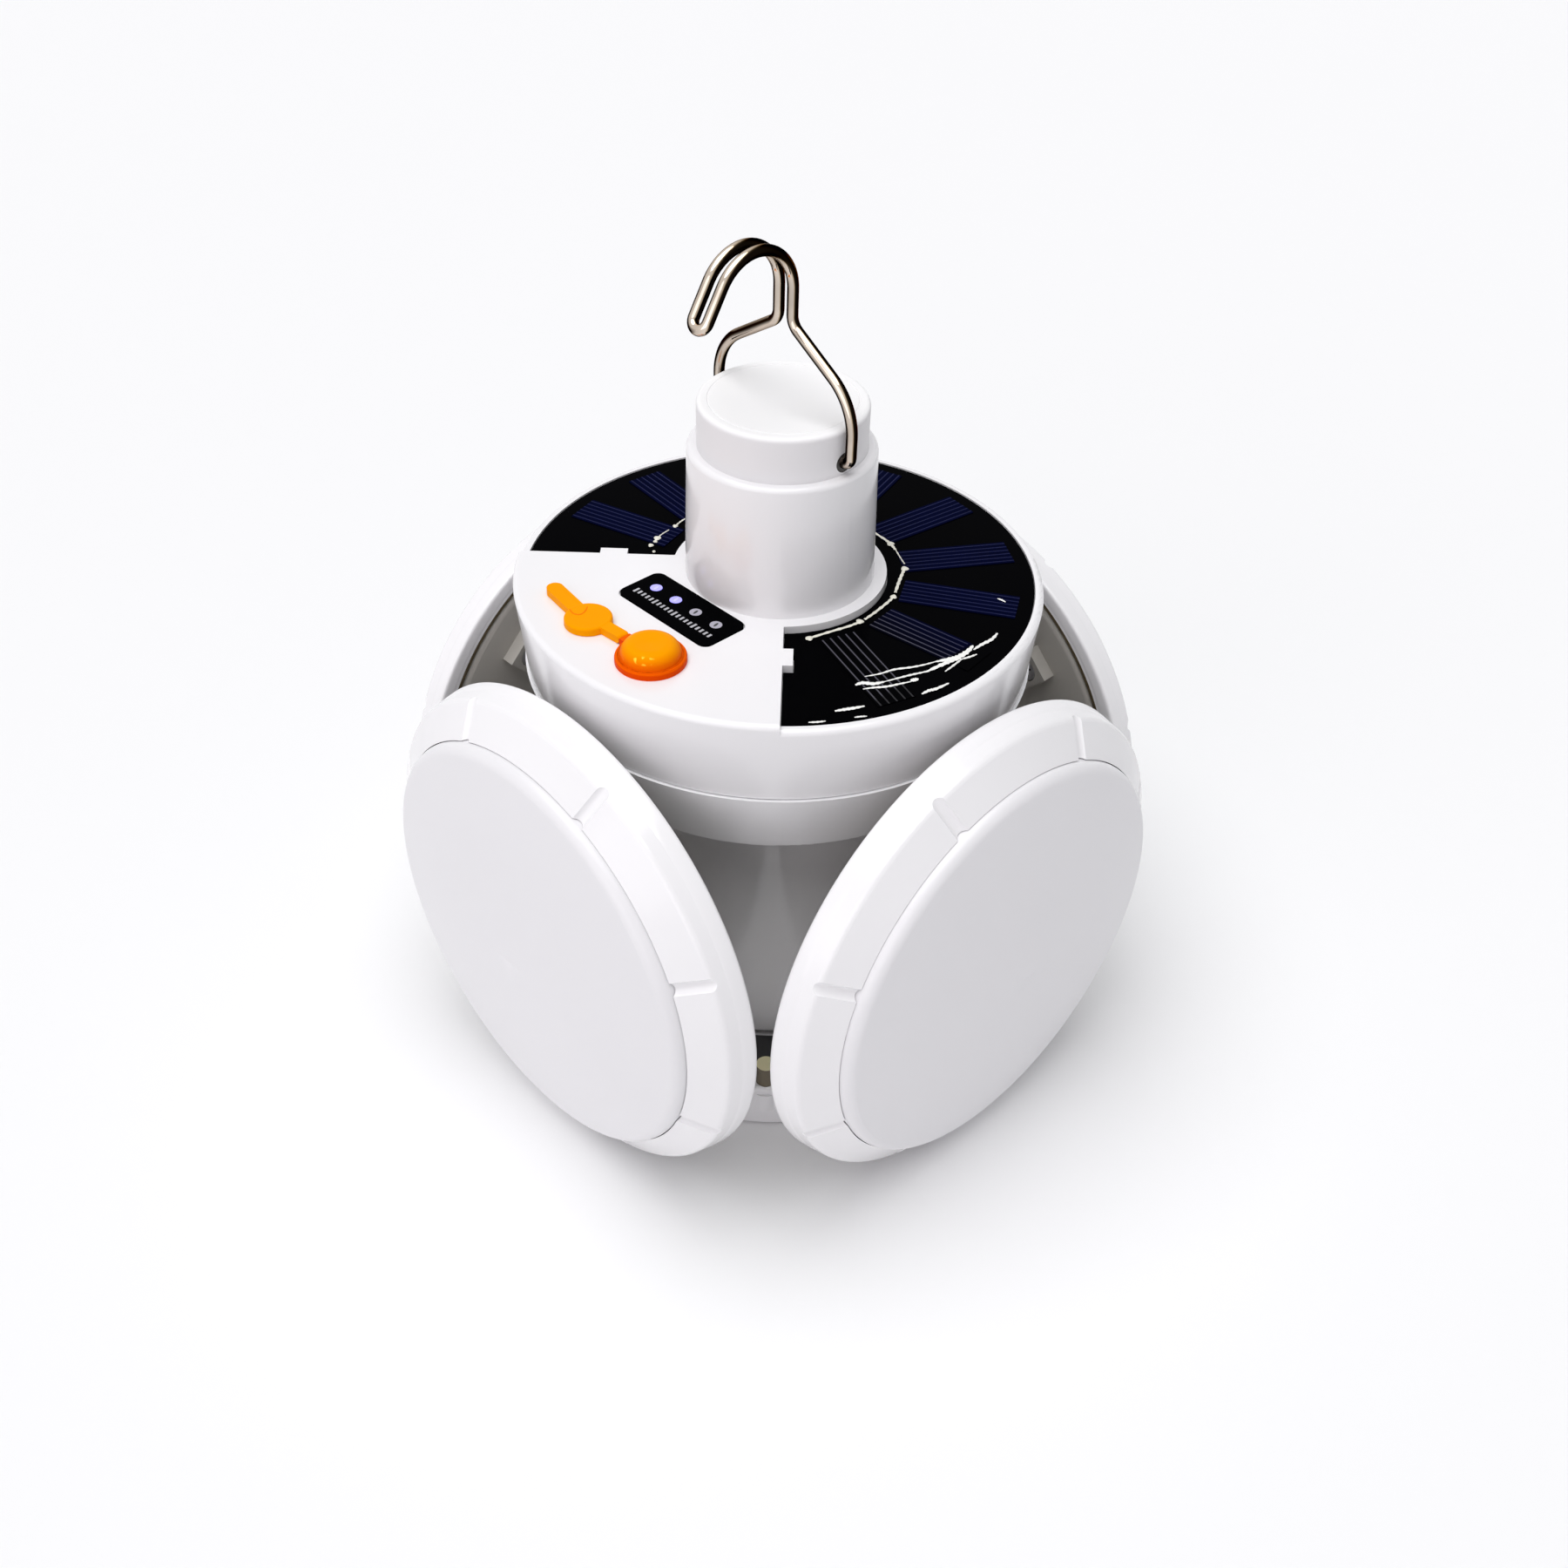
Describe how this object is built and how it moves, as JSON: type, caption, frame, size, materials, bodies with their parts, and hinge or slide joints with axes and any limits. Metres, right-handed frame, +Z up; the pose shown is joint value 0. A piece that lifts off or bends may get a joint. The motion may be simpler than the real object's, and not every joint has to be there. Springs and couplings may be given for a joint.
{
  "type": "folding solar pendant lamp",
  "caption": "Folding solar lamp: round casing with solar panel, controls and wire hook over a stem and base, with hinged round light petals folded up around them.",
  "frame": {"origin": "centre of the base's standing ring, on the plane that the folded lamp stands on", "axes": "+Z up along the stem towards the hook; -Y towards the control sector with button and indicator; X along the hook's pivot"},
  "size_m": [0.1142, 0.1142, 0.1449],
  "materials": {
    "white_shell": "glossy moulded",
    "grey_cover": "satin moulded",
    "milky_diffuser": "milky, satin",
    "black_gloss": "high gloss",
    "solar_cell": "glossy laminate",
    "tinned_ribbon": "tinned",
    "indicator_lens": "clear, lit",
    "orange_rubber": "satin silicone",
    "nickel_wire": "bright nickel",
    "brass_stud": "turned",
    "steel": "zinc plated",
    "battery_can": "sleeved",
    "black_plastic": "matte",
    "circuit_board": "solder mask",
    "led_package": "phosphor"
  },
  "bodies": {
    "lamp_body": {"base_bezel": "white_shell", "base_diffuser": "milky_diffuser", "base_housing": "white_shell", "base_led_board": "circuit_board", "base_leds": "led_package", "base_studs": "brass_stud", "battery_cell": "battery_can", "battery_contacts": "steel", "battery_holder": "black_plastic", "button_flange": "orange_rubber", "casing_screws": "steel", "charging_jack": "black_plastic", "hinge_pins": "steel", "indicator_leds": "led_package", "indicator_lenses": "indicator_lens", "indicator_plate": "black_gloss", "lower_casing": "white_shell", "main_board": "circuit_board", "neck_cap": "white_shell", "neck_tube": "white_shell", "push_switch": "black_plastic", "solar_cells": "solar_cell", "solar_panel": "black_gloss", "solar_ribbons": "tinned_ribbon", "stem_column": "white_shell", "stem_screws": "steel", "top_cover": "white_shell"},
    "petal_right": {"petal_right_back": "grey_cover", "petal_right_bezel": "white_shell", "petal_right_diffuser": "milky_diffuser", "petal_right_led_board": "circuit_board", "petal_right_leds": "led_package", "petal_right_screws": "steel"},
    "petal_back": {"petal_back_back": "grey_cover", "petal_back_bezel": "white_shell", "petal_back_diffuser": "milky_diffuser", "petal_back_led_board": "circuit_board", "petal_back_leds": "led_package", "petal_back_screws": "steel"},
    "petal_left": {"petal_left_back": "grey_cover", "petal_left_bezel": "white_shell", "petal_left_diffuser": "milky_diffuser", "petal_left_led_board": "circuit_board", "petal_left_leds": "led_package", "petal_left_screws": "steel"},
    "petal_front": {"petal_front_back": "grey_cover", "petal_front_bezel": "white_shell", "petal_front_diffuser": "milky_diffuser", "petal_front_led_board": "circuit_board", "petal_front_leds": "led_package", "petal_front_screws": "steel"},
    "hook": {"hook_wire": "nickel_wire"},
    "button": {"push_button": "orange_rubber"},
    "plug": {"port_plug": "orange_rubber"}
  },
  "joints": [
    {"name": "unfold_right", "type": "hinge", "parent": "lamp_body", "child": "petal_right", "pos_m": [0.0406, 0, 0.004], "axis": [0, 1, 0], "range_deg": [0, 90]},
    {"name": "unfold_back", "type": "hinge", "parent": "lamp_body", "child": "petal_back", "pos_m": [0, 0.0406, 0.004], "axis": [-1, 0, 0], "range_deg": [0, 90]},
    {"name": "unfold_left", "type": "hinge", "parent": "lamp_body", "child": "petal_left", "pos_m": [-0.0406, 0, 0.004], "axis": [0, -1, 0], "range_deg": [0, 90]},
    {"name": "unfold_front", "type": "hinge", "parent": "lamp_body", "child": "petal_front", "pos_m": [0, -0.0406, 0.004], "axis": [1, 0, 0], "range_deg": [0, 90]},
    {"name": "hook_swing", "type": "hinge", "parent": "lamp_body", "child": "hook", "pos_m": [0, 0, 0.1145], "axis": [1, 0, 0], "range_deg": [-90, 90]},
    {"name": "button_press", "type": "slide", "parent": "lamp_body", "child": "button", "axis": [0, 0, -1], "range_m": [0, 0.0008], "stiffness_N_per_m": 1500, "springref_m": -0.0004},
    {"name": "plug_lift", "type": "hinge", "parent": "lamp_body", "child": "plug", "pos_m": [-0.0008, -0.0314, 0.0916], "axis": [0, 1, 0], "range_deg": [0, 80]}
  ]
}
